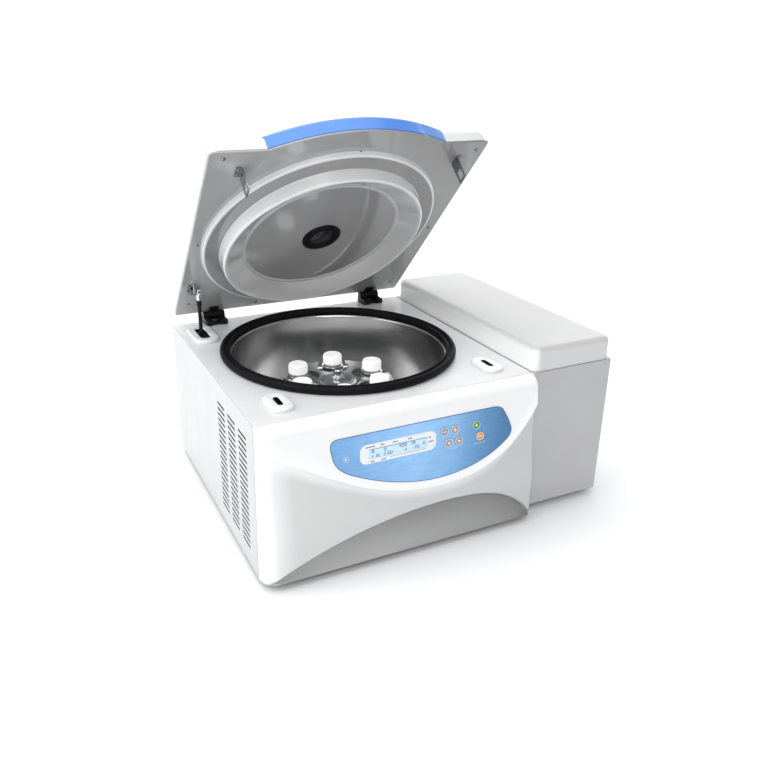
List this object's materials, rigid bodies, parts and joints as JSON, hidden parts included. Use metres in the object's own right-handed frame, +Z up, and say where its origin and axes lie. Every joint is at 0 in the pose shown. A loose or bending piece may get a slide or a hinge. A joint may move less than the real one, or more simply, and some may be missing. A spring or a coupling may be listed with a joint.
{
  "type": "laboratory centrifuge",
  "caption": "Refrigerated benchtop centrifuge with a hinged lid, swing-out rotor with capped tubes, gas strut, keypad panel and a side compressor housing.",
  "frame": {"origin": "centre of the footprint of the machine with its lid open, on the surface its feet stand on", "axes": "+Z up, -Y out of the front with the keypad, +X to the right seen from the front"},
  "size_m": [0.63, 0.5086, 0.6445],
  "materials": {
    "white_shell": "satin",
    "white_plastic": "gloss",
    "deck_paint": "satin",
    "panel_grey": "gloss",
    "grip_blue": "gloss",
    "overlay_blue": "satin",
    "stainless": "polished",
    "alloy": "machined",
    "zinc_steel": "plated",
    "black_rubber": "matte",
    "black_plastic": "matte",
    "black_steel": "satin",
    "tube_plastic": "satin",
    "key_grey": "satin",
    "key_green": "satin",
    "key_orange": "satin",
    "display": "gloss"
  },
  "bodies": {
    "housing": {"base_pan": "zinc_steel", "left_side_panel": "white_shell", "rear_panel": "white_shell", "side_housing": "white_shell", "side_cap": "white_plastic", "deck": "deck_paint", "front_fascia": "white_plastic", "foot_front_left": "black_rubber", "foot_front_right": "black_rubber", "foot_rear_left": "black_rubber", "foot_rear_right": "black_rubber", "chamber_gasket": "black_rubber", "bowl": "stainless", "guard_vessel": "zinc_steel", "motor": "black_steel", "hinge_base_left": "black_plastic", "hinge_base_right": "black_plastic", "latch_housing_left": "white_plastic", "latch_housing_right": "white_plastic", "strut_escutcheon": "white_plastic", "control_overlay": "overlay_blue", "display_module": "display", "condensing_unit": "black_steel", "power_inlet": "black_plastic"},
    "rotor": {"spindle": "alloy", "rotor_head": "alloy", "rotor_nut": "alloy"},
    "lid": {"lid_shell": "white_plastic", "lid_panel": "panel_grey", "lid_grip": "grip_blue", "sight_port": "black_rubber", "striker_left": "zinc_steel", "striker_right": "zinc_steel", "strut_stud": "zinc_steel", "hinge_leaf_left": "black_plastic", "hinge_leaf_right": "black_plastic"},
    "strut_lower": {"strut_cylinder": "black_steel"},
    "strut_upper": {"strut_rod": "black_steel"},
    "bolt_left": {"latch_bolt_left": "zinc_steel"},
    "bolt_right": {"latch_bolt_right": "zinc_steel"},
    "fan_wheel": {"fan": "black_plastic"},
    "rocker": {"power_switch": "black_plastic"},
    "swing_1": {"bucket_1": "alloy", "tube_1": "tube_plastic"},
    "swing_2": {"bucket_2": "alloy", "tube_2": "tube_plastic"},
    "swing_3": {"bucket_3": "alloy", "tube_3": "tube_plastic"},
    "swing_4": {"bucket_4": "alloy", "tube_4": "tube_plastic"},
    "swing_5": {"bucket_5": "alloy", "tube_5": "tube_plastic"},
    "swing_6": {"bucket_6": "alloy", "tube_6": "tube_plastic"},
    "key_minus": {"button_minus": "key_grey"},
    "key_plus": {"button_plus": "key_grey"},
    "key_left": {"button_left": "key_grey"},
    "key_right": {"button_right": "key_grey"},
    "key_start": {"button_start": "key_green"},
    "key_stop": {"button_stop": "key_orange"}
  },
  "joints": [
    {"name": "rotor_spin", "type": "hinge", "parent": "housing", "child": "rotor", "pos_m": [-0.085, 0.0012, 0.1925], "axis": [0, 0, 1], "continuous": true},
    {"name": "bucket_1_swing", "type": "hinge", "parent": "rotor", "child": "swing_1", "pos_m": [-0.01058, 0.01934, 0.1925], "axis": [0.2368, -0.9715, 0], "range_deg": [0, 90]},
    {"name": "bucket_2_swing", "type": "hinge", "parent": "rotor", "child": "swing_2", "pos_m": [-0.0635, 0.07472, 0.1925], "axis": [0.9598, -0.2807, 0], "range_deg": [0, 90]},
    {"name": "bucket_3_swing", "type": "hinge", "parent": "rotor", "child": "swing_3", "pos_m": [-0.13792, 0.05658, 0.1925], "axis": [0.723, 0.6909, 0], "range_deg": [0, 90]},
    {"name": "bucket_4_swing", "type": "hinge", "parent": "rotor", "child": "swing_4", "pos_m": [-0.15942, -0.01694, 0.1925], "axis": [-0.2368, 0.9715, 0], "range_deg": [0, 90]},
    {"name": "bucket_5_swing", "type": "hinge", "parent": "rotor", "child": "swing_5", "pos_m": [-0.1065, -0.07232, 0.1925], "axis": [-0.9598, 0.2807, 0], "range_deg": [0, 90]},
    {"name": "bucket_6_swing", "type": "hinge", "parent": "rotor", "child": "swing_6", "pos_m": [-0.03208, -0.05418, 0.1925], "axis": [-0.723, -0.6909, 0], "range_deg": [0, 90]},
    {"name": "lid_hinge", "type": "hinge", "parent": "housing", "child": "lid", "pos_m": [-0.08, 0.2292, 0.273], "axis": [1, 0, 0], "range_deg": [0, 47]},
    {"name": "strut_swing", "type": "hinge", "parent": "housing", "child": "strut_lower", "pos_m": [-0.28, 0.1582, 0.045], "axis": [1, 0, 0], "range_deg": [0, 6.64]},
    {"name": "strut_slide", "type": "slide", "parent": "strut_lower", "child": "strut_upper", "axis": [0, 0.0327, 0.9995], "range_m": [-0.0652, 0]},
    {"name": "bolt_left_slide", "type": "slide", "parent": "housing", "child": "bolt_left", "axis": [-1, 0, 0], "range_m": [0, 0.008]},
    {"name": "bolt_right_slide", "type": "slide", "parent": "housing", "child": "bolt_right", "axis": [1, 0, 0], "range_m": [0, 0.008]},
    {"name": "press_minus", "type": "slide", "parent": "housing", "child": "key_minus", "axis": [0, 0.9988, -0.0499], "range_m": [0, 0.0012], "stiffness_N_per_m": 600},
    {"name": "press_plus", "type": "slide", "parent": "housing", "child": "key_plus", "axis": [0, 0.9988, -0.0499], "range_m": [0, 0.0012], "stiffness_N_per_m": 600},
    {"name": "press_left", "type": "slide", "parent": "housing", "child": "key_left", "axis": [0, 0.9988, -0.0499], "range_m": [0, 0.0012], "stiffness_N_per_m": 600},
    {"name": "press_right", "type": "slide", "parent": "housing", "child": "key_right", "axis": [0, 0.9988, -0.0499], "range_m": [0, 0.0012], "stiffness_N_per_m": 600},
    {"name": "press_start", "type": "slide", "parent": "housing", "child": "key_start", "axis": [0, 0.9988, -0.0499], "range_m": [0, 0.0012], "stiffness_N_per_m": 600},
    {"name": "press_stop", "type": "slide", "parent": "housing", "child": "key_stop", "axis": [0, 0.9988, -0.0499], "range_m": [0, 0.0012], "stiffness_N_per_m": 600},
    {"name": "fan_spin", "type": "hinge", "parent": "housing", "child": "fan_wheel", "pos_m": [0.235, 0.2012, 0.118], "axis": [0, 1, 0], "continuous": true},
    {"name": "rocker_tilt", "type": "hinge", "parent": "housing", "child": "rocker", "pos_m": [-0.196, 0.2372, 0.056], "axis": [-1, 0, 0], "range_deg": [0, 16]}
  ],
  "couplings": [
    {"joint": "strut_swing", "follows": "lid_hinge", "ratio": 0.14125},
    {"joint": "strut_slide", "follows": "lid_hinge", "m_per_rad": -0.079469}
  ]
}
